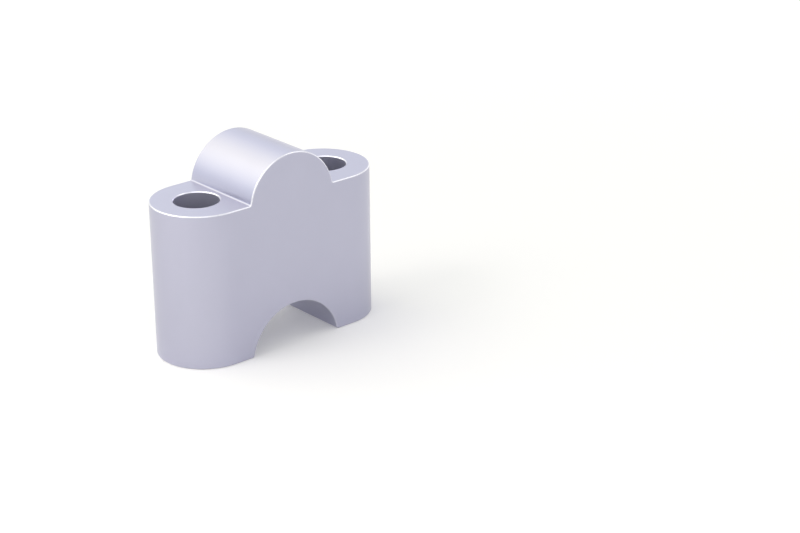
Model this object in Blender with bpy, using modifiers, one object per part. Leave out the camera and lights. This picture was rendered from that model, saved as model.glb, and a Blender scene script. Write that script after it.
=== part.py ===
"""One-piece aluminium riser block for a motorcycle handlebar clamp.

The block stands on its two feet. X runs along its length, Y along the handlebar and Z up.
The origin is the middle of the underside, at the level of the feet.
Seen from the front it has a half-round hump on top, which fills the fork's lower clamp, and a
half-round saddle underneath, which takes the bar. Seen from above it is a slot shape with full
round ends, and a bolt hole passes down through each of the two ears beside the hump.
All sizes are in metres.
"""

import math

import bmesh
import bpy
from mathutils import Matrix

# Driving sizes
BAR_DIAMETER = 0.0222            # seven eighths of an inch, the handlebar at its clamp
RISE = 0.0347                    # from the middle of the hump's round to the middle of the saddle's
EARS_ABOVE_HUMP_AXIS = 0.00185   # so the hump shows a little less than half a round
FEET_ABOVE_SADDLE_AXIS = 0.0020  # so the saddle grips a little less than half a round
SADDLE_CLEARANCE = 0.0005        # between the bar and the saddle's wall
BLOCK_WIDTH = 0.0215             # front face to back face
BOLT_HOLE_DIAMETER = 0.0098
HUMP_TO_HOLE_LAND = 0.00075      # flat left between the hump's foot and a bolt hole's mouth
END_WALL = 0.00495               # from a bolt hole to the round end of the block
HOLE_MOUTH_CHAMFER = 0.0002
HUMP_FOOT_FILLET = 0.0004        # left by the nose of the cutter, where the hump meets the ears
SADDLE_LIP_ROUND = 0.0006        # where the saddle runs out onto the feet
EDGE_BREAK = 0.0003              # on every other edge

# Facets
FACETS_PER_TURN = 160
DRILL_FACETS_PER_TURN = 80
SMALL_ROUND_FACETS = 5
EDGE_BREAK_FACETS = 2
SHARPEST_SMOOTH_ANGLE = math.radians(40)
BLUNTEST_BROKEN_ANGLE = math.radians(60)

# How far the cutting shapes reach past what they cut
OVERCUT = 0.004
MOUTH_OVERCUT_SHARE = 0.25       # of the land, so that a drill's flare stays clear of the hump
MERGE_DISTANCE = 0.000001

# Worked out from the driving sizes
HUMP_RADIUS = BAR_DIAMETER / 2
SADDLE_RADIUS = BAR_DIAMETER / 2 + SADDLE_CLEARANCE
SADDLE_AXIS_Z = -FEET_ABOVE_SADDLE_AXIS
HUMP_AXIS_Z = SADDLE_AXIS_Z + RISE
EAR_Z = HUMP_AXIS_Z + EARS_ABOVE_HUMP_AXIS
HUMP_TOP_Z = HUMP_AXIS_Z + HUMP_RADIUS
END_RADIUS = BLOCK_WIDTH / 2
BOLT_HOLE_RADIUS = BOLT_HOLE_DIAMETER / 2


def tangent_round(big_radius, small_radius, axis_to_plane):
    """Centre of a small round that touches a big round from outside and sits on a level plane.

    The big round is centred on the origin, and the plane lies axis_to_plane above it. Returns the
    small round's centre and the angle at which the line to it from the big round's centre rises.
    """
    height = axis_to_plane + small_radius
    reach = math.sqrt((big_radius + small_radius) ** 2 - height ** 2)
    return reach, height, math.atan2(height, reach)


FOOT_OF_HUMP_X = tangent_round(HUMP_RADIUS, HUMP_FOOT_FILLET, EARS_ABOVE_HUMP_AXIS)[0]
BOLT_X = FOOT_OF_HUMP_X + HUMP_TO_HOLE_LAND + HOLE_MOUTH_CHAMFER + BOLT_HOLE_RADIUS
BLOCK_LENGTH = 2 * (BOLT_X + BOLT_HOLE_RADIUS + END_WALL)


def arc(centre, radius, start, end, facets):
    """Points on an arc about centre, from the start angle to the end angle in radians."""
    points = []
    for step in range(facets + 1):
        angle = start + (end - start) * step / facets
        points.append((centre[0] + radius * math.cos(angle), centre[1] + radius * math.sin(angle)))
    return points


def facets_for(angle):
    """How many facets an arc of this angle gets."""
    return max(2, round(FACETS_PER_TURN * abs(angle) / (2 * math.pi)))


def mirrored(points):
    """The same points on the other side of X = 0, in reverse order."""
    return [(-x, y) for x, y in reversed(points)]


def right_hump_foot():
    """Small hollow round where the hump meets the right ear, from the ear's flat up to the hump."""
    reach, height, rise = tangent_round(HUMP_RADIUS, HUMP_FOOT_FILLET, EARS_ABOVE_HUMP_AXIS)
    centre = (reach, HUMP_AXIS_Z + height)
    return arc(centre, HUMP_FOOT_FILLET, -math.pi / 2, rise - math.pi, SMALL_ROUND_FACETS), rise


def right_saddle_lip():
    """Small round where the saddle meets the right foot, from the saddle's wall down to the foot."""
    reach, height, rise = tangent_round(SADDLE_RADIUS, SADDLE_LIP_ROUND, FEET_ABOVE_SADDLE_AXIS)
    centre = (reach, SADDLE_AXIS_Z + height)
    return arc(centre, SADDLE_LIP_ROUND, rise + math.pi, 1.5 * math.pi, SMALL_ROUND_FACETS), rise


def front_outline():
    """The block seen from the front, as (x, z) points, with its ends left long for the plan to trim."""
    far_x = BLOCK_LENGTH / 2 + OVERCUT
    hump_foot, hump_start = right_hump_foot()
    saddle_lip, saddle_start = right_saddle_lip()
    hump_angle = math.pi - 2 * hump_start
    saddle_angle = math.pi - 2 * saddle_start
    hump = arc((0, HUMP_AXIS_Z), HUMP_RADIUS, hump_start, math.pi - hump_start, facets_for(hump_angle))
    saddle = arc(
        (0, SADDLE_AXIS_Z), SADDLE_RADIUS, math.pi - saddle_start, saddle_start, facets_for(saddle_angle)
    )
    outline = [(far_x, 0.0), (far_x, EAR_Z)]
    outline += hump_foot + hump[1:-1] + mirrored(hump_foot)
    outline += [(-far_x, EAR_Z), (-far_x, 0.0)]
    outline += mirrored(saddle_lip) + saddle[1:-1] + saddle_lip
    return outline


def plan_outline():
    """The block seen from above, as (x, y) points: two straight sides and two full round ends."""
    end_x = BLOCK_LENGTH / 2 - END_RADIUS
    right = arc((end_x, 0), END_RADIUS, -math.pi / 2, math.pi / 2, facets_for(math.pi))
    left = arc((-end_x, 0), END_RADIUS, math.pi / 2, 1.5 * math.pi, facets_for(math.pi))
    return right + left


def bolt_hole_profile():
    """Half section of a bolt hole with a chamfered mouth at each end, as (radius, z) from top to bottom."""
    past_mouth = HUMP_TO_HOLE_LAND * MOUTH_OVERCUT_SHARE
    flare = BOLT_HOLE_RADIUS + HOLE_MOUTH_CHAMFER + past_mouth
    return [
        (0.0, EAR_Z + OVERCUT),
        (flare, EAR_Z + OVERCUT),
        (flare, EAR_Z + past_mouth),
        (BOLT_HOLE_RADIUS, EAR_Z - HOLE_MOUTH_CHAMFER),
        (BOLT_HOLE_RADIUS, HOLE_MOUTH_CHAMFER),
        (flare, -past_mouth),
        (flare, -OVERCUT),
        (0.0, -OVERCUT),
    ]


def new_collection(name):
    """A collection in the scene."""
    collection = bpy.data.collections.new(name)
    bpy.context.scene.collection.children.link(collection)
    return collection


def extruded_outline(name, outline, half_depth, collection):
    """A closed flat outline in the curve's own XY plane, extruded both ways, as a closed mesh object."""
    curve = bpy.data.curves.new(name + "_outline", "CURVE")
    curve.dimensions = "2D"
    curve.fill_mode = "BOTH"
    curve.extrude = half_depth
    spline = curve.splines.new("POLY")
    spline.points.add(len(outline) - 1)
    for point, (x, y) in zip(spline.points, outline):
        point.co = (x, y, 0.0, 1.0)
    spline.use_cyclic_u = True
    drawn = bpy.data.objects.new(name + "_outline", curve)
    collection.objects.link(drawn)
    bpy.context.view_layer.update()
    depsgraph = bpy.context.evaluated_depsgraph_get()
    mesh = bpy.data.meshes.new_from_object(drawn.evaluated_get(depsgraph))
    weld(mesh)
    solid = bpy.data.objects.new(name, mesh)
    solid.matrix_world = drawn.matrix_world
    collection.objects.link(solid)
    bpy.data.objects.remove(drawn)
    return solid


def weld(mesh):
    """Joins a curve's loose caps to its sides."""
    work = bmesh.new()
    work.from_mesh(mesh)
    bmesh.ops.remove_doubles(work, verts=work.verts, dist=MERGE_DISTANCE)
    bmesh.ops.recalc_face_normals(work, faces=work.faces)
    work.to_mesh(mesh)
    work.free()


def as_cutter(shape):
    """Shows a cutting shape as wires and keeps it out of renders."""
    shape.display_type = "WIRE"
    shape.hide_render = True
    return shape


def front_prism(collection):
    """The front outline carried through from well before the front face to well behind the back one."""
    solid = extruded_outline("riser_block", front_outline(), BLOCK_WIDTH / 2 + OVERCUT, collection)
    solid.data.transform(Matrix.Rotation(math.pi / 2, 4, "X"))
    return solid


def plan_prism(collection):
    """The plan outline carried up through the whole height."""
    solid = extruded_outline("plan_shape", plan_outline(), (HUMP_TOP_Z + 2 * OVERCUT) / 2, collection)
    solid.location.z = HUMP_TOP_Z / 2
    return as_cutter(solid)


def bolt_drill(name, x, collection):
    """The turned shape that opens one bolt hole."""
    profile = bolt_hole_profile()
    mesh = bpy.data.meshes.new(name)
    corners = [(radius, 0.0, z) for radius, z in profile]
    edges = [(index, index + 1) for index in range(len(corners) - 1)]
    mesh.from_pydata(corners, edges, [])
    drill = bpy.data.objects.new(name, mesh)
    drill.location.x = x
    collection.objects.link(drill)
    turn = drill.modifiers.new("turn", "SCREW")
    turn.axis = "Z"
    turn.steps = DRILL_FACETS_PER_TURN
    turn.render_steps = DRILL_FACETS_PER_TURN
    turn.use_merge_vertices = True
    turn.merge_threshold = MERGE_DISTANCE
    return as_cutter(drill)


def cut(solid, tool, operation):
    """Trims or cuts a solid with another one."""
    step = solid.modifiers.new(tool.name, "BOOLEAN")
    step.operation = operation
    step.solver = "EXACT"
    step.object = tool


def break_edges(solid):
    """Rounds every edge that is still square, and leaves the chamfered hole mouths alone."""
    edge_break = solid.modifiers.new("edge_break", "BEVEL")
    edge_break.width = EDGE_BREAK
    edge_break.segments = EDGE_BREAK_FACETS
    edge_break.limit_method = "ANGLE"
    edge_break.angle_limit = BLUNTEST_BROKEN_ANGLE
    edge_break.use_clamp_overlap = True


def anodised_aluminium():
    """Clear satin anodising, a slightly blue silver."""
    material = bpy.data.materials.new("anodised_aluminium")
    material.use_nodes = True
    shader = material.node_tree.nodes["Principled BSDF"]
    shader.inputs["Base Color"].default_value = (0.60, 0.60, 0.66, 1.0)
    shader.inputs["Metallic"].default_value = 1.0
    shader.inputs["Roughness"].default_value = 0.38
    return material


def build():
    """Models the riser block in an emptied scene."""
    for old in list(bpy.data.objects):
        bpy.data.objects.remove(old)
    part = new_collection("bar_riser")
    cutters = new_collection("cutters")
    block = front_prism(part)
    cut(block, plan_prism(cutters), "INTERSECT")
    for name, x in (("bolt_drill_left", -BOLT_X), ("bolt_drill_right", BOLT_X)):
        cut(block, bolt_drill(name, x, cutters), "DIFFERENCE")
    break_edges(block)
    block.data.shade_smooth()
    block.data.set_sharp_from_angle(angle=SHARPEST_SMOOTH_ANGLE)
    block.data.materials.append(anodised_aluminium())


build()
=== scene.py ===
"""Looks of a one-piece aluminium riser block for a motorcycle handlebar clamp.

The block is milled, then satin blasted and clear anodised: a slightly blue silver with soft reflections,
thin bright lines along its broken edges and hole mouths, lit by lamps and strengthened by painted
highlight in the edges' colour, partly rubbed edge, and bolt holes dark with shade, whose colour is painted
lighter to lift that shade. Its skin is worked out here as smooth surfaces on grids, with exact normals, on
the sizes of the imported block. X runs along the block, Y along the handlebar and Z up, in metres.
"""

import math

import bpy
import numpy as np
from mathutils import Matrix, Vector


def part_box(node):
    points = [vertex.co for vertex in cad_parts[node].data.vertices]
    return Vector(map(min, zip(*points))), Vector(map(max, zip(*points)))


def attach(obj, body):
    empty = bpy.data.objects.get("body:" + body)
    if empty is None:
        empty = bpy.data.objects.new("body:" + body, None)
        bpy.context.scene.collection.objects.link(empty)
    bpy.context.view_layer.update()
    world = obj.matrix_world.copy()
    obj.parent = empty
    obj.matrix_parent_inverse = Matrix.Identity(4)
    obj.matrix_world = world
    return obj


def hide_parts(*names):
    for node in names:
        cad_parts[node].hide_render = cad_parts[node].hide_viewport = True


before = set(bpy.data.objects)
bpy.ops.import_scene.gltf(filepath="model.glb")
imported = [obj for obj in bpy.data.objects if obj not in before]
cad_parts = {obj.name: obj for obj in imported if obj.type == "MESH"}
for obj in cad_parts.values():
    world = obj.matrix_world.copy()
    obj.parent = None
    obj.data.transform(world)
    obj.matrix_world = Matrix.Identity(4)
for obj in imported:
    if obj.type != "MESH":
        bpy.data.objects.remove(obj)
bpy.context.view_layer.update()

# The block's sizes
BLOCK_LOW, BLOCK_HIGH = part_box("riser_block")
HALF_LENGTH = (BLOCK_HIGH.x - BLOCK_LOW.x) / 2
HALF_WIDTH = (BLOCK_HIGH.y - BLOCK_LOW.y) / 2
BAR_DIAMETER = 0.0222
RISE = 0.0347
EARS_ABOVE_HUMP_AXIS = 0.00185
FEET_ABOVE_SADDLE_AXIS = 0.0020
SADDLE_CLEARANCE = 0.0005
BOLT_HOLE_RADIUS = 0.0049
END_WALL = 0.00495
HOLE_MOUTH_CHAMFER = 0.0002
HOLE_MOUTH_ROUND = 0.00006
HUMP_FOOT_FILLET = 0.0004
SADDLE_LIP_ROUND = 0.0006
EDGE_BREAK = 0.0003

# Worked out from them
QUARTER_TURN = math.pi / 2
EIGHTH_TURN = math.pi / 4
HUMP_RADIUS = BAR_DIAMETER / 2
SADDLE_RADIUS = BAR_DIAMETER / 2 + SADDLE_CLEARANCE
SADDLE_AXIS_Z = -FEET_ABOVE_SADDLE_AXIS
HUMP_AXIS_Z = SADDLE_AXIS_Z + RISE
EAR_Z = HUMP_AXIS_Z + EARS_ABOVE_HUMP_AXIS
END_X = HALF_LENGTH - HALF_WIDTH
BOLT_X = HALF_LENGTH - END_WALL - BOLT_HOLE_RADIUS
# A hole's mouth where it leaves the flat: the chamfer's edge, moved out by its small round's tangent
MOUTH_RADIUS = BOLT_HOLE_RADIUS + HOLE_MOUTH_CHAMFER + HOLE_MOUTH_ROUND * math.tan(EIGHTH_TURN / 2)

# Steps of the grids
EAR_STEPS = 12
FOOT_ROUND_STEPS = 8
HALF_ROUND_STEPS = 144
END_STEPS = 96
RIM_STEPS = 8
WALL_STEPS = 20
DEPTH_STEPS = 24
RING_STEPS = 8
MOUTH_STEPS = 5
BORE_STEPS = 30
WELD_STEP = 1e-8

# Stations along a front outline, counted from its left end: where the hump or saddle starts and stops
LINE_STEPS = 2 * EAR_STEPS + 2 * FOOT_ROUND_STEPS + HALF_ROUND_STEPS
MIDDLE_FROM = EAR_STEPS
MIDDLE_TO = LINE_STEPS - EAR_STEPS
# Where the back face ends, counted round the plan from the front face's left end
BACK_TO = 2 * LINE_STEPS + END_STEPS
# Shares of the way down a bolt hole, between which its columns turn from the ear's spacing to the foot's
TURN_FROM = 0.1
TURN_TO = 0.9

# The two finishes of the block, by the order of its materials
SATIN = 0
DRILLED = 1

# How far an edge's colour is painted bright, as painted highlight with some rubbed edge, where 1 is all the
# way, and how much of that varies along it. The top edges get more than the bottom ones, as the light falls
TOP_EDGE_PAINTED_HIGHLIGHT = 1.0
BOTTOM_EDGE_PAINTED_HIGHLIGHT = 0.3
SHINE_UNEVENNESS = 0.25
SHINE_CHANGES_PER_METRE = 260.0
SHINE_DETAIL = 2.0

# Blasted grain, cutter marks and handling haze: how close and how finely divided each noise is, and which
# of its levels count. MARKS_ROUGHNESS is how far the marks move the roughness either way
GRAINS_PER_METRE = 3000.0
GRAIN_DETAIL = 2.0
GRAIN_BREAKUP = 0.6
MARKS_DETAIL = 1.0
MARKS_LOW = 0.3
MARKS_HIGH = 0.7
MARKS_ROUGHNESS = 0.01
CLOUDS_PER_METRE = 70.0
CLOUDS_DETAIL = 5.0
CLOUDS_BREAKUP = 0.55
CLOUDS_WANDER = 0.4
CLOUDS_CLEAN = 0.35
CLOUDS_HAZY = 0.75

# The finishes' values. haze is how much the clouds dull the colour and change the roughness, and the
# depths of grain and marks are in metres
SATIN_LOOK = {
    "colour": (0.485, 0.485, 0.595),
    # Painted highlight, with some rubbed edge: the broken edges' colour, nearly twice as bright as the faces'
    "rubbed_edge_and_highlight_colour": (0.90, 0.90, 0.94),
    "roughness": 0.305,
    "edge_roughness": 0.26,
    "haze": 0.02,
    "lines_per_metre": 1500.0,
    "breaks_per_metre": 25.0,
    "grain_depth": 0.000002,
    "marks_depth": 0.0000005,
}
DRILLED_LOOK_PAINTED_LIGHTER = {
    # Painted light: the bore's colour is painted lighter than the satin's, to lift the shade deep in the bolt
    # holes; its higher roughness and deeper marks are the drilled finish
    "colour": (0.69, 0.69, 0.79),
    # Painted highlight, with some rubbed edge: the hole mouths' chamfer colour
    "rubbed_edge_and_highlight_colour": (0.80, 0.80, 0.88),
    "roughness": 0.42,
    "edge_roughness": 0.24,
    "haze": 0.03,
    "lines_per_metre": 2200.0,
    "breaks_per_metre": 60.0,
    "grain_depth": 0.000002,
    "marks_depth": 0.000008,
}

# A Mix node has one pair of inputs and one output for each kind of data, and these are the colours' own
MIX_FIRST_COLOUR = 6
MIX_SECOND_COLOUR = 7
MIX_COLOUR = 2

# The photograph's view: where the camera stands, and which way it looks
CAMERA_PLACE = (-0.24435, -0.32870, 0.18278)
CAMERA_HEADING = math.radians(40.769)
CAMERA_DIP = math.radians(22.395)
CAMERA_ROLL = math.radians(-0.446)
CAMERA_LENS = 90.990
CAMERA_SENSOR = 36.0
CAMERA_NEAREST = 0.01
VIEW = np.array([
    math.sin(CAMERA_HEADING) * math.cos(CAMERA_DIP),
    math.cos(CAMERA_HEADING) * math.cos(CAMERA_DIP),
    -math.sin(CAMERA_DIP),
])

# How bright the paper and the sky are, where 1 is white. The paper is lifted more and more from near to far
FLOOR_COLOUR = 0.90
FLOOR_LIFT_NEAR = 0.13
FLOOR_LIFT_FAR = 0.48
FLOOR_LIFT_FROM = 0.05
FLOOR_LIFT_TO = 0.68
FLOOR_REACH = 3.0
FLOOR_GAP = 0.00005
SKY_SEEN = 1.0
SKY_FILL = 0.62

# The lamps' colours, and points that they face
WHITE = (1.0, 1.0, 1.0)
WARM = (1.0, 0.96, 0.67)
CREAM = (1.0, 0.95, 0.87)
COOL = (0.65, 0.77, 1.0)
FEET_MIDDLE = (0.0, 0.0, 0.0)
WALL_MIDDLE = (0.0, 0.0, 0.02)
EARS_MIDDLE = (0.0, 0.0, 0.03)
LEFT_FOOT = (-0.03, 0.0, 0.01)
FLOOR_BY_LEFT_FOOT = (-0.085, -0.04, 0.0)

# The hump's lamps: where round the hump each is mirrored, in degrees above +X, its brightness and colour
HUMP_MIDDLE = np.array([0.0, 0.0, 0.035])
HUMP_LAMP_REACH = 0.85
HUMP_LAMP_SIZE = (0.90, 0.80)
HUMP_LAMPS = (
    (102, 0.21, COOL),
    (114, 0.51, WARM),
    (126, 0.42, WARM),
    (138, 0.66, WARM),
    (150, 0.28, COOL),
)

# The lamps that light the broken edges: name, place and brightness
RIM_LAMP_SIZE = (0.35, 0.35)
RIM_LAMPS = (
    ("rim_softbox_front", (0.42, -0.27, 0.49), 0.60),
    ("rim_softbox_over", (-0.17, -0.20, 0.65), 0.60),
    ("rim_softbox_near", (-0.27, -0.49, 0.42), 0.50),
)


def flat_run(start, end, normal, steps):
    """Straight stretch of an outline: p(t) = start + t (end - start), with one normal all along."""
    t = np.linspace(0.0, 1.0, steps + 1)[:, None]
    points = np.asarray(start) + t * (np.asarray(end) - np.asarray(start))
    return points, np.broadcast_to(np.asarray(normal, float), points.shape)


def round_run(centre, radius, start, end, steps, side=1.0):
    """Round stretch of an outline: p(t) = centre + radius (cos t, sin t).

    Its normal is side (cos t, sin t), where side is 1 on a raised round and -1 on a hollow one.
    """
    t = np.linspace(start, end, steps + 1)
    spoke = np.column_stack([np.cos(t), np.sin(t)])
    return np.asarray(centre) + radius * spoke, side * spoke


def joined(*runs):
    """Stretches of an outline laid end to end, each shared end kept once."""
    points = np.concatenate([runs[0][0]] + [run[0][1:] for run in runs[1:]])
    normals = np.concatenate([runs[0][1]] + [run[1][1:] for run in runs[1:]])
    return points, normals


def tangent_round(big_radius, small_radius, axis_to_plane):
    """Where a small round touches a big one from outside and rests on a level plane above its axis.

    reach = sqrt((R + r)^2 - height^2) and height = plane + r, both from the big round's axis. Returns reach,
    height and the angle at which the line between the two centres rises.
    """
    height = axis_to_plane + small_radius
    reach = math.sqrt((big_radius + small_radius) ** 2 - height ** 2)
    return reach, height, math.atan2(height, reach)


def top_line():
    """Upper outline seen from the front, left to right, as (x, z): ear, hollow foot, hump, foot, ear."""
    reach, height, rise = tangent_round(HUMP_RADIUS, HUMP_FOOT_FILLET, EARS_ABOVE_HUMP_AXIS)
    foot_z = HUMP_AXIS_Z + height
    return joined(
        flat_run((-END_X, EAR_Z), (-reach, EAR_Z), (0, 1), EAR_STEPS),
        round_run((-reach, foot_z), HUMP_FOOT_FILLET, -QUARTER_TURN, -rise, FOOT_ROUND_STEPS, -1.0),
        round_run((0, HUMP_AXIS_Z), HUMP_RADIUS, math.pi - rise, rise, HALF_ROUND_STEPS),
        round_run((reach, foot_z), HUMP_FOOT_FILLET, rise - math.pi, -QUARTER_TURN, FOOT_ROUND_STEPS, -1.0),
        flat_run((reach, EAR_Z), (END_X, EAR_Z), (0, 1), EAR_STEPS),
    )


def bottom_line():
    """Lower outline seen from the front, left to right, as (x, z): foot, lip, saddle, lip, foot."""
    reach, height, rise = tangent_round(SADDLE_RADIUS, SADDLE_LIP_ROUND, FEET_ABOVE_SADDLE_AXIS)
    lip_z = SADDLE_AXIS_Z + height
    return joined(
        flat_run((-END_X, 0), (-reach, 0), (0, -1), EAR_STEPS),
        round_run((-reach, lip_z), SADDLE_LIP_ROUND, -QUARTER_TURN, -rise, FOOT_ROUND_STEPS),
        round_run((0, SADDLE_AXIS_Z), SADDLE_RADIUS, math.pi - rise, rise, HALF_ROUND_STEPS, -1.0),
        round_run((reach, lip_z), SADDLE_LIP_ROUND, rise + math.pi, 3 * QUARTER_TURN, FOOT_ROUND_STEPS),
        flat_run((reach, 0), (END_X, 0), (0, -1), EAR_STEPS),
    )


def plan_loop(line):
    """Sharp edge between the walls and one cap, once round the plan from the front face's left end.

    The front and back stretches are (x(s), -w, z(s)) and (x(s), w, z(s)) on the front outline, and each
    end is (X + w cos t, w sin t, z) over half a turn, w being half the width. Returns the points, the
    walls' normals and the cap's normals.
    """
    points, normals = line
    count = len(points)
    lengthwise = np.column_stack([points[:, 0], np.zeros(count), points[:, 1]])
    caps = np.column_stack([normals[:, 0], np.zeros(count), normals[:, 1]])
    across = np.array([0.0, 1.0, 0.0])
    t = np.linspace(-QUARTER_TURN, QUARTER_TURN, END_STEPS + 1)
    spoke = np.column_stack([np.cos(t), np.sin(t), np.zeros(len(t))])
    end_cap = np.broadcast_to(caps[0], spoke.shape)
    stretches = [
        (lengthwise - HALF_WIDTH * across, np.broadcast_to(-across, caps.shape), caps),
        (lengthwise[-1] + HALF_WIDTH * spoke, spoke, end_cap),
        ((lengthwise + HALF_WIDTH * across)[::-1], np.broadcast_to(across, caps.shape), caps[::-1]),
        (lengthwise[0] - HALF_WIDTH * spoke, -spoke, end_cap),
    ]
    first, *others = stretches
    return [np.concatenate([start] + [other[k][1:] for other in others]) for k, start in enumerate(first)]


def run_length(points):
    """Distance travelled along a line of points, from 0 at the first."""
    steps = np.linalg.norm(np.diff(points, axis=0), axis=1)
    return np.concatenate([[0.0], np.cumsum(steps)])


def surface(points, normals, lay, edge=None, finish=SATIN):
    """One grid of the skin.

    lay says where its tool marks run, as (across the marks, along the marks) in metres. The edge argument is
    how far its colour is painted bright as highlight, with some rubbed edge, and its roughness lowered, from
    0 to 1, and finish is which of the block's two finishes it wears.
    """
    if edge is None:
        edge = np.zeros(points.shape[:2])
    return {"points": points, "normals": normals, "lay": lay, "edge": edge, "finish": finish}


def spread(first, last, steps):
    """Ruled grid between two lines of points: P(s, t) = (1 - t) first(s) + t last(s)."""
    t = np.linspace(0.0, 1.0, steps + 1)[None, :, None]
    return (1 - t) * first[:, None, :] + t * last[:, None, :]


def rim(loop, travelled, painted_highlight):
    """Broken edge: P(s, a) = C(s) - e (n + m) + e (n cos a + m sin a), a over a quarter turn.

    C is the sharp edge, n the wall's normal, m the cap's and e the break, so the grid leaves the wall and
    meets the cap without a crease. Its colour is painted bright by the highlight strength times sin(2a), most
    along its middle, as painted highlight with some rubbed edge.
    """
    corner, wall_normal, cap_normal = (part[:, None, :] for part in loop)
    a = np.linspace(0.0, QUARTER_TURN, RIM_STEPS + 1)[None, :, None]
    normals = wall_normal * np.cos(a) + cap_normal * np.sin(a)
    points = corner - EDGE_BREAK * (wall_normal + cap_normal) + EDGE_BREAK * normals
    lay = np.stack(np.broadcast_arrays(travelled[:, None], points[:, :, 2]), axis=-1)
    edge = np.broadcast_to(painted_highlight * np.sin(2 * a[:, :, 0]), points.shape[:2])
    return surface(points, normals, lay, edge)


def wall(top_rim, bottom_rim, loop, travelled):
    """Upright side, ruled between the wall edges of the top and bottom rims, with tool marks up and down."""
    points = spread(top_rim["points"][:, 0], bottom_rim["points"][:, 0], WALL_STEPS)
    normals = np.broadcast_to(loop[1][:, None, :], points.shape)
    lay = np.stack(np.broadcast_arrays(travelled[:, None], points[:, :, 2]), axis=-1)
    return surface(points, normals, lay)


def half_round(cap_rim, loop):
    """Hump or saddle with its small rounds, ruled from the front rim to the back rim along the bar."""
    front = cap_rim["points"][MIDDLE_FROM:MIDDLE_TO + 1, -1]
    back = cap_rim["points"][BACK_TO - MIDDLE_TO:BACK_TO - MIDDLE_FROM + 1, -1][::-1]
    points = spread(front, back, DEPTH_STEPS)
    normals = np.broadcast_to(loop[2][MIDDLE_FROM:MIDDLE_TO + 1, None, :], points.shape)
    lay = np.stack(np.broadcast_arrays(run_length(front)[:, None], points[:, :, 1]), axis=-1)
    return surface(points, normals, lay)


def ear_border(cap_rim, middle, side):
    """Closed line round one ear's or foot's flat: front edge, foot of the half-round, back edge, round end.

    side is -1 for the left one and 1 for the right one, whose line starts at the front of the half-round and
    takes its foot last. The last point repeats the first.
    """
    ring = cap_rim["points"][:, -1]
    if side < 0:
        front = ring[:MIDDLE_FROM + 1]
        foot = middle["points"][0]
        back_and_end = ring[BACK_TO - MIDDLE_FROM:]
        return np.concatenate([front, foot[1:], back_and_end[1:]])
    front_end_and_back = ring[MIDDLE_TO:BACK_TO - MIDDLE_TO + 1]
    foot = middle["points"][-1][::-1]
    return np.concatenate([front_end_and_back, foot[1:]])


def mouth_line():
    """Half section of a hole's chamfered mouth, from flat to bore, as (radius, height over the flat).

    Both edges of the chamfer are rounds of radius q through an eighth of a turn: c1 + q N(a) and then
    c2 + q N(a), where N(a) = (-sin a, cos a) turns from upright to level, facing the hole's axis.
    """
    fall = MOUTH_RADIUS - BOLT_HOLE_RADIUS - HOLE_MOUTH_ROUND
    upper_turn = np.linspace(0, EIGHTH_TURN, MOUTH_STEPS + 1)
    lower_turn = np.linspace(EIGHTH_TURN, 2 * EIGHTH_TURN, MOUTH_STEPS + 1)
    a = np.concatenate([upper_turn, lower_turn])
    facing = np.column_stack([-np.sin(a), np.cos(a)])
    upper_centre = np.array([MOUTH_RADIUS, -HOLE_MOUTH_ROUND])
    lower_centre = upper_centre - fall
    centres = np.repeat([upper_centre, lower_centre], MOUTH_STEPS + 1, axis=0)
    return centres + HOLE_MOUTH_ROUND * facing, facing


def flat_ring(border, axis_x, up):
    """Flat of an ear or foot: P(s, t) = (1 - t) border(s) + t mouth(s), on the same bearing from the axis.

    up is 1 for an ear and -1 for a foot. Returns the bearings too, for the hole's wall to start from.
    """
    bearing = np.unwrap(np.arctan2(border[:, 1], border[:, 0] - axis_x))
    mouth = np.column_stack([np.cos(bearing), np.sin(bearing), np.zeros(len(bearing))]) * MOUTH_RADIUS
    mouth += np.array([axis_x, 0.0, border[0, 2]])
    points = spread(border, mouth, RING_STEPS)
    normals = np.broadcast_to(np.array([0.0, 0.0, up]), points.shape)
    return surface(points, normals, points[:, :, :2].copy()), bearing


def bolt_hole(top_bearing, bottom_bearing, axis_x):
    """Turned wall of a bolt hole: P(s, t) = (X + r(t) cos b, r(t) sin b, z(t)) over mouth, bore and mouth.

    The bearing b(s, t) eases from the top flat's to the bottom flat's down the bore. The chamfers' colour is
    painted bright by |2 n m|, where (n, m) is the section's normal, as painted highlight with some rubbed
    edge.
    """
    section, facing = mouth_line()
    depth = section[-1, 1]
    bore_z = np.linspace(EAR_Z + depth, -depth, BORE_STEPS + 1)[1:-1]
    bore = np.column_stack([np.full(len(bore_z), BOLT_HOLE_RADIUS), bore_z])
    profile = np.concatenate([section + [0, EAR_Z], bore, (section * [1, -1])[::-1]])
    inward = np.broadcast_to(np.array([-1.0, 0.0]), bore.shape)
    profile_normals = np.concatenate([facing, inward, (facing * [1, -1])[::-1]])

    down = (EAR_Z - profile[:, 1]) / EAR_Z
    ease = np.clip((down - TURN_FROM) / (TURN_TO - TURN_FROM), 0.0, 1.0)[None, :]
    bearing = (1 - ease) * top_bearing[:, None] + ease * bottom_bearing[:, None]
    across, level = np.cos(bearing), np.sin(bearing)
    radius, z = profile[:, 0][None, :], np.broadcast_to(profile[:, 1][None, :], bearing.shape)
    points = np.stack([axis_x + radius * across, radius * level, z], axis=-1)
    spoke, rise = profile_normals[:, 0][None, :], profile_normals[:, 1][None, :]
    normals = np.stack([spoke * across, spoke * level, np.broadcast_to(rise, bearing.shape)], axis=-1)
    lay = np.stack([z, BOLT_HOLE_RADIUS * bearing], axis=-1)
    edge = np.broadcast_to(np.abs(2 * spoke * rise), bearing.shape)
    return surface(points, normals, lay, edge, finish=DRILLED)


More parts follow.
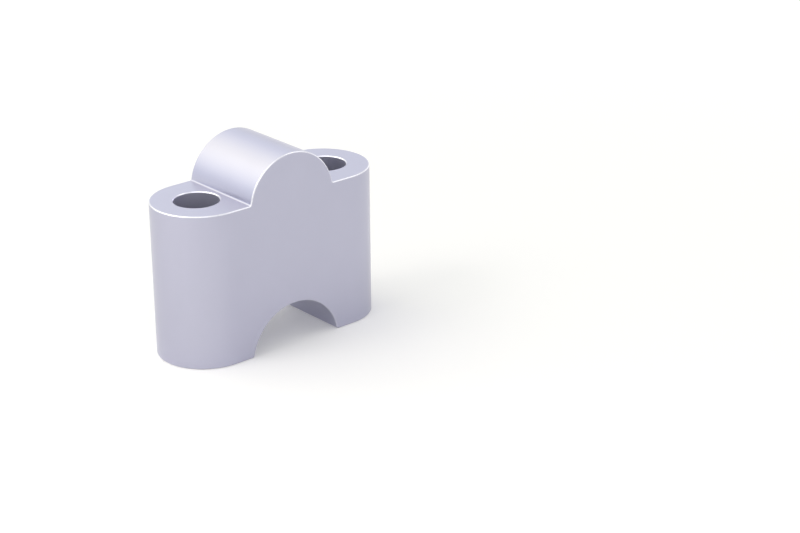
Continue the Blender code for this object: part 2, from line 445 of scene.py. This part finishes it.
def skin():
    """Every surface of the block."""
    top, bottom = plan_loop(top_line()), plan_loop(bottom_line())
    travelled = run_length(bottom[0] * [1, 1, 0])
    # Painted highlight: the top edges are painted brighter than the bottom ones, as the light falls from
    # above
    top_rim = rim(top, travelled, TOP_EDGE_PAINTED_HIGHLIGHT)
    bottom_rim = rim(bottom, travelled, BOTTOM_EDGE_PAINTED_HIGHLIGHT)
    hump, saddle = half_round(top_rim, top), half_round(bottom_rim, bottom)
    made = [top_rim, bottom_rim, wall(top_rim, bottom_rim, top, travelled), hump, saddle]
    for side in (-1, 1):
        ear, top_bearing = flat_ring(ear_border(top_rim, hump, side), side * BOLT_X, 1.0)
        foot, bottom_bearing = flat_ring(ear_border(bottom_rim, saddle, side), side * BOLT_X, -1.0)
        made += [ear, foot, bolt_hole(top_bearing, bottom_bearing, side * BOLT_X)]
    return made


def quads_of(grid, offset):
    """Corner numbers of a grid's four-sided faces, turned so that they face the way its normals do."""
    rows, columns = grid["points"].shape[:2]
    number = offset + np.arange(rows * columns).reshape(rows, columns)
    quads = np.stack([number[:-1, :-1], number[1:, :-1], number[1:, 1:], number[:-1, 1:]], axis=-1)
    quads = quads.reshape(-1, 4)
    points = grid["points"].reshape(-1, 3)[quads - offset]
    facing = np.cross(points[:, 2] - points[:, 0], points[:, 3] - points[:, 1])
    wanted = grid["normals"].reshape(-1, 3)[quads - offset].sum(axis=1)
    backwards = (facing * wanted).sum(axis=1) < 0
    quads[backwards] = quads[backwards][:, ::-1]
    return quads


def put_together(name, grids, materials):
    """One closed mesh of all the grids, welded along their shared edges, with the formulas' own normals."""
    offsets = np.cumsum([0] + [grid["points"].shape[0] * grid["points"].shape[1] for grid in grids])
    points = np.concatenate([grid["points"].reshape(-1, 3) for grid in grids])
    normals = np.concatenate([grid["normals"].reshape(-1, 3) for grid in grids])
    edge = np.concatenate([grid["edge"].ravel() for grid in grids])
    lay = np.concatenate([grid["lay"].reshape(-1, 2) for grid in grids])
    grid_quads = [quads_of(grid, offset) for grid, offset in zip(grids, offsets)]
    finish = np.concatenate([np.full(len(quads), grid["finish"]) for quads, grid in zip(grid_quads, grids)])
    quads = np.concatenate(grid_quads)

    spots = np.round(points / WELD_STEP).astype(np.int64)
    first, welded = np.unique(spots, axis=0, return_index=True, return_inverse=True)[1:]
    mesh = bpy.data.meshes.new(name)
    mesh.from_pydata(points[first], [], welded.reshape(-1)[quads])
    mesh.polygons.foreach_set("material_index", finish.astype(np.int32))
    mesh.attributes.new("edge", "FLOAT", "POINT").data.foreach_set("value", edge[first].astype(np.float32))
    marks = mesh.uv_layers.new(name="lay")
    marks.data.foreach_set("uv", lay[quads.ravel()].astype(np.float32).ravel())
    for material in materials:
        mesh.materials.append(material)
    mesh.shade_smooth()
    mesh.normals_split_custom_set_from_vertices(normals[first])
    piece = bpy.data.objects.new(name, mesh)
    bpy.context.scene.collection.objects.link(piece)
    return piece


class Nodes:
    """A short way to add nodes to a tree and join them."""

    def __init__(self, tree):
        self.tree = tree

    def add(self, kind, inputs=None, **settings):
        """A node with its settings, and its inputs set to values or joined to other nodes' outputs."""
        node = self.tree.nodes.new(kind)
        for key, value in settings.items():
            setattr(node, key, value)
        for key, value in (inputs or {}).items():
            if isinstance(value, bpy.types.NodeSocket):
                self.join(value, node.inputs[key])
            else:
                node.inputs[key].default_value = value
        return node

    def join(self, output, wanted):
        """Joins one node's output to another's input."""
        self.tree.links.new(output, wanted)

    def maths(self, operation, *values):
        """A Math node's result."""
        return self.add("ShaderNodeMath", dict(enumerate(values)), operation=operation).outputs[0]

    def between(self, value, low, high, new_low, new_high):
        """A value moved from one range to another, and held inside it."""
        inputs = {"Value": value, "From Min": low, "From Max": high, "To Min": new_low, "To Max": new_high}
        return self.add("ShaderNodeMapRange", inputs).outputs["Result"]

    def noise(self, place, scale, detail, breakup=0.5, wander=0.0):
        """A soft noise from 0 to 1: breakup is how strong its fine detail is, wander how far it bends."""
        inputs = {"Vector": place, "Scale": scale, "Detail": detail}
        inputs.update({"Roughness": breakup, "Distortion": wander})
        return self.add("ShaderNodeTexNoise", inputs).outputs["Fac"]

    def looked_at(self):
        """1 where the lens, a reflection or a refraction looks, and 0 where light is only gathered."""
        seen = self.add("ShaderNodeLightPath").outputs
        direct = self.maths("ADD", seen["Is Camera Ray"], seen["Is Glossy Ray"])
        return self.maths("ADD", direct, seen["Is Transmission Ray"])


def new_group(name, inputs, output):
    """An empty shader node group with named inputs (name: (kind, value)) and one output between 0 and 1.

    Returns its nodes, its inputs as sockets to read, and the output as a socket to join to.
    """
    tree = bpy.data.node_groups.new(name, "ShaderNodeTree")
    for label, (kind, value) in inputs.items():
        socket = tree.interface.new_socket(label, in_out="INPUT", socket_type=kind)
        if value is not None:
            socket.default_value = value
    tree.interface.new_socket(output, in_out="OUTPUT", socket_type="NodeSocketFloat")
    nodes = Nodes(tree)
    return nodes, nodes.add("NodeGroupInput").outputs, nodes.add("NodeGroupOutput").inputs[output]


def satin_grain_group():
    """Fine even grain left by blasting: small soft dimples, the same in every direction."""
    nodes, given, height = new_group(
        "satin_grain",
        {"Place": ("NodeSocketVector", None), "Grains per Metre": ("NodeSocketFloat", GRAINS_PER_METRE)},
        "Height",
    )
    nodes.join(nodes.noise(given["Place"], given["Grains per Metre"], GRAIN_DETAIL, GRAIN_BREAKUP), height)
    return nodes.tree


def tool_marks_group():
    """Long faint lines along the cutter's path: noise stretched along the second lay coordinate."""
    nodes, given, height = new_group(
        "tool_marks",
        {"Lines per Metre": ("NodeSocketFloat", None), "Breaks per Metre": ("NodeSocketFloat", None)},
        "Height",
    )
    lay = nodes.add("ShaderNodeUVMap", uv_map="lay").outputs["UV"]
    parts = nodes.add("ShaderNodeSeparateXYZ", {"Vector": lay}).outputs
    across = nodes.maths("MULTIPLY", parts["X"], given["Lines per Metre"])
    along = nodes.maths("MULTIPLY", parts["Y"], given["Breaks per Metre"])
    place = nodes.add("ShaderNodeCombineXYZ", {"X": across, "Y": along}).outputs["Vector"]
    nodes.join(nodes.noise(place, 1.0, MARKS_DETAIL), height)
    return nodes.tree


def handling_haze_group():
    """Broad uneven clouds that handling leaves in the satin: 0 where clean, 1 where hazy."""
    nodes, given, haze = new_group(
        "handling_haze",
        {"Place": ("NodeSocketVector", None), "Clouds per Metre": ("NodeSocketFloat", CLOUDS_PER_METRE)},
        "Haze",
    )
    clouds = nodes.noise(
        given["Place"], given["Clouds per Metre"], CLOUDS_DETAIL, CLOUDS_BREAKUP, CLOUDS_WANDER
    )
    nodes.join(nodes.between(clouds, CLOUDS_CLEAN, CLOUDS_HAZY, 0.0, 1.0), haze)
    return nodes.tree


def edge_polish_and_highlight_group():
    """How far an edge is painted bright, as painted highlight with some rubbed edge: its share of the round,
    broken up a little by a slow noise.
    """
    nodes, given, polish_and_highlight = new_group(
        "edge_polish_and_highlight",
        {"Place": ("NodeSocketVector", None), "Unevenness": ("NodeSocketFloat", SHINE_UNEVENNESS)},
        "Polish and Highlight",
    )
    edge = nodes.add("ShaderNodeAttribute", attribute_name="edge", attribute_type="GEOMETRY").outputs["Fac"]
    change = nodes.noise(given["Place"], SHINE_CHANGES_PER_METRE, SHINE_DETAIL)
    kept = nodes.maths("SUBTRACT", 1.0, nodes.maths("MULTIPLY", change, given["Unevenness"]))
    nodes.join(nodes.maths("MULTIPLY", edge, kept), polish_and_highlight)
    return nodes.tree


def anodised(name, look, groups):
    """Clear anodised aluminium: bare metal under a thin hard film, satin on the faces, smoother on the edges,
    whose colour is painted brighter as highlight with some rubbed edge.
    """
    material = bpy.data.materials.new(name)
    material.use_nodes = True
    nodes = Nodes(material.node_tree)
    shader = material.node_tree.nodes["Principled BSDF"]
    place = nodes.add("ShaderNodeTexCoord").outputs["Object"]

    def from_group(group, **inputs):
        return nodes.add("ShaderNodeGroup", inputs, node_tree=groups[group]).outputs[0]

    clouds = from_group("handling_haze", Place=place)
    polish_and_highlight = from_group("edge_polish_and_highlight", Place=place)
    grain = from_group("satin_grain", Place=place)
    marks_inputs = {"Lines per Metre": look["lines_per_metre"], "Breaks per Metre": look["breaks_per_metre"]}
    marks = from_group("tool_marks", **marks_inputs)

    haze = look["haze"]
    # Painted highlight: the edges' colour is mixed towards a far brighter one
    shade_inputs = {
        "Factor": polish_and_highlight,
        MIX_FIRST_COLOUR: (*look["colour"], 1.0),
        MIX_SECOND_COLOUR: (*look["rubbed_edge_and_highlight_colour"], 1.0),
    }
    shade = nodes.add("ShaderNodeMix", shade_inputs, data_type="RGBA").outputs[MIX_COLOUR]
    duller = nodes.between(clouds, 0.0, 1.0, 1.0, 1.0 - haze)
    tinted = nodes.add("ShaderNodeVectorMath", {0: shade, "Scale": duller}, operation="SCALE")
    nodes.join(tinted.outputs[0], shader.inputs["Base Color"])

    roughness, edge_roughness = look["roughness"], look["edge_roughness"]
    rough = nodes.between(clouds, 0.0, 1.0, roughness - haze, roughness + haze)
    marked = nodes.between(marks, MARKS_LOW, MARKS_HIGH, -MARKS_ROUGHNESS, MARKS_ROUGHNESS)
    rough = nodes.maths("ADD", rough, marked)
    smoother = nodes.maths("MULTIPLY", polish_and_highlight, roughness - edge_roughness)
    nodes.join(nodes.maths("SUBTRACT", rough, smoother), shader.inputs["Roughness"])

    grain_height = nodes.maths("MULTIPLY", grain, look["grain_depth"])
    marks_height = nodes.maths("MULTIPLY", marks, look["marks_depth"])
    height = nodes.maths("ADD", grain_height, marks_height)
    bump = nodes.add("ShaderNodeBump", {"Height": height, "Strength": 1.0, "Distance": 1.0})
    nodes.join(bump.outputs["Normal"], shader.inputs["Normal"])
    shader.inputs["Metallic"].default_value = 1.0
    return material


def paper_white_floor():
    """Matt white paper under the block's true shadow, lifted to full white where it is looked at.

    The lift grows with the distance from the block, so that the shadow stays and the horizon vanishes.
    """
    material = bpy.data.materials.new("paper_white_floor")
    material.use_nodes = True
    material.node_tree.nodes.clear()
    nodes = Nodes(material.node_tree)
    seen = nodes.looked_at()
    place = nodes.add("ShaderNodeTexCoord").outputs["Object"]
    away = nodes.add("ShaderNodeVectorMath", {0: place}, operation="LENGTH").outputs["Value"]
    lift = nodes.between(away, FLOOR_LIFT_FROM, FLOOR_LIFT_TO, FLOOR_LIFT_NEAR, FLOOR_LIFT_FAR)
    lift = nodes.maths("MULTIPLY", seen, lift)
    grey = (FLOOR_COLOUR, FLOOR_COLOUR, FLOOR_COLOUR, 1.0)
    paper = nodes.add("ShaderNodeBsdfDiffuse", {"Color": grey}).outputs["BSDF"]
    glow = nodes.add("ShaderNodeEmission", {"Color": (*WHITE, 1.0), "Strength": lift}).outputs["Emission"]
    both = nodes.add("ShaderNodeAddShader", {0: paper, 1: glow}).outputs["Shader"]
    nodes.add("ShaderNodeOutputMaterial", {"Surface": both})
    return material


def lay_floor():
    """Level floor just under the feet."""
    bpy.ops.mesh.primitive_plane_add(size=2 * FLOOR_REACH, location=(0, 0, -FLOOR_GAP))
    floor = bpy.context.object
    floor.name = "floor"
    floor.data.materials.append(paper_white_floor())


def light_world():
    """White all round where the lens or a reflection looks, and a softer white fill on everything else."""
    world = bpy.data.worlds.new("studio")
    bpy.context.scene.world = world
    world.use_nodes = True
    nodes = Nodes(world.node_tree)
    strength = nodes.between(nodes.looked_at(), 0.0, 1.0, SKY_FILL, SKY_SEEN)
    background = world.node_tree.nodes["Background"]
    background.inputs["Color"].default_value = (*WHITE, 1.0)
    nodes.join(strength, background.inputs["Strength"])


def feather(lamp):
    """Fades a lamp towards its rim: its level is (1 - u^2)^2 (1 - v^2), u and v from -1 to 1 across it."""
    lamp.use_nodes = True
    nodes = Nodes(lamp.node_tree)
    spot = nodes.add("ShaderNodeNewGeometry").outputs["Parametric"]
    parts = nodes.add("ShaderNodeSeparateXYZ", {"Vector": spot}).outputs
    u, v = (nodes.maths("MULTIPLY_ADD", parts[axis], 2.0, -1.0) for axis in ("X", "Y"))
    across = nodes.maths("SUBTRACT", 1.0, nodes.maths("MULTIPLY", u, u))
    up = nodes.maths("SUBTRACT", 1.0, nodes.maths("MULTIPLY", v, v))
    level = nodes.maths("MULTIPLY", nodes.maths("MULTIPLY", across, across), up)
    nodes.join(level, lamp.node_tree.nodes["Emission"].inputs["Strength"])


def mirrored_view(degrees):
    """Where the camera looks by way of the hump: r = d - 2 (d.n) n, n standing so many degrees above +X."""
    angle = math.radians(degrees)
    normal = np.array([math.cos(angle), 0.0, math.sin(angle)])
    return VIEW - 2 * (VIEW @ normal) * normal


def softbox(name, place, aim, size, brightness, colour=WHITE, feathered=False, grid_angle=180):
    """Rectangular lamp at a place, facing another. Its power is pi times its area times its brightness.

    grid_angle is the width of its beam in degrees, as a honeycomb grid narrows it.
    """
    lamp = bpy.data.lights.new(name, "AREA")
    lamp.shape = "RECTANGLE"
    lamp.size, lamp.size_y = size
    lamp.energy = math.pi * size[0] * size[1] * brightness
    lamp.color = colour
    lamp.spread = math.radians(grid_angle)
    if feathered:
        feather(lamp)
    holder = bpy.data.objects.new(name, lamp)
    bpy.context.scene.collection.objects.link(holder)
    holder.location = place
    holder.rotation_euler = (Vector(place) - Vector(aim)).to_track_quat("Z", "Y").to_euler()
    holder.visible_camera = False


def light_hump():
    """Feathered softboxes along the arc that the hump mirrors, for its soft bright band."""
    for degrees, brightness, colour in HUMP_LAMPS:
        name = "hump_softbox_%d" % degrees
        place = HUMP_MIDDLE + HUMP_LAMP_REACH * mirrored_view(degrees)
        softbox(name, place, HUMP_MIDDLE, HUMP_LAMP_SIZE, brightness, colour, feathered=True)


def light_walls():
    """A key lamp from above and behind, a faint cool one low behind, and a warm pair on the left end."""
    softbox("key_softbox", place=(-0.24, 0.20, 0.62), aim=FEET_MIDDLE, size=(0.50, 0.50), brightness=0.50)
    softbox(
        "horizon_softbox", place=(0.54, 0.63, 0.37), aim=EARS_MIDDLE, size=(0.80, 0.40), brightness=0.09,
        colour=COOL, feathered=True,
    )
    softbox(
        "left_softbox", place=(-0.30, 0.05, 0.22), aim=LEFT_FOOT, size=(0.25, 0.25), brightness=1.00,
        colour=CREAM,
    )
    softbox(
        "left_spot", place=(-0.28, 0.02, 0.25), aim=FLOOR_BY_LEFT_FOOT, size=(0.20, 0.20), brightness=0.25,
        colour=CREAM, grid_angle=50,
    )


def light_rims():
    """Small lamps that the broken edges mirror as thin bright lines."""
    for name, place, brightness in RIM_LAMPS:
        softbox(name, place, WALL_MIDDLE, RIM_LAMP_SIZE, brightness)
    softbox(
        "rim_softbox_right", place=(0.70, 0.10, 0.12), aim=EARS_MIDDLE, size=(0.40, 0.22), brightness=0.40
    )


def stand_camera():
    """Camera at the photograph's viewing angle."""
    data = bpy.data.cameras.new("camera")
    data.lens = CAMERA_LENS
    data.sensor_width = CAMERA_SENSOR
    data.clip_start = CAMERA_NEAREST
    camera = bpy.data.objects.new("camera", data)
    bpy.context.scene.collection.objects.link(camera)
    camera.matrix_world = (
        Matrix.Translation(CAMERA_PLACE)
        @ Matrix.Rotation(-CAMERA_HEADING, 4, "Z")
        @ Matrix.Rotation(QUARTER_TURN - CAMERA_DIP, 4, "X")
        @ Matrix.Rotation(CAMERA_ROLL, 4, "Z")
    )
    bpy.context.scene.camera = camera


bpy.context.scene.view_settings.view_transform = "Standard"
stand_camera()
light_world()
lay_floor()
light_hump()
light_walls()
light_rims()

GROUPS = {
    "satin_grain": satin_grain_group(),
    "tool_marks": tool_marks_group(),
    "handling_haze": handling_haze_group(),
    "edge_polish_and_highlight": edge_polish_and_highlight_group(),
}
satin = anodised("satin_anodised", SATIN_LOOK, GROUPS)
# The bores' colour is painted lighter, as painted light against the holes' shade
drilled_painted_lighter = anodised("drilled_bore_painted_lighter", DRILLED_LOOK_PAINTED_LIGHTER, GROUPS)
riser = put_together("riser_body", skin(), [satin, drilled_painted_lighter])
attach(riser, "root")
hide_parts("riser_block")
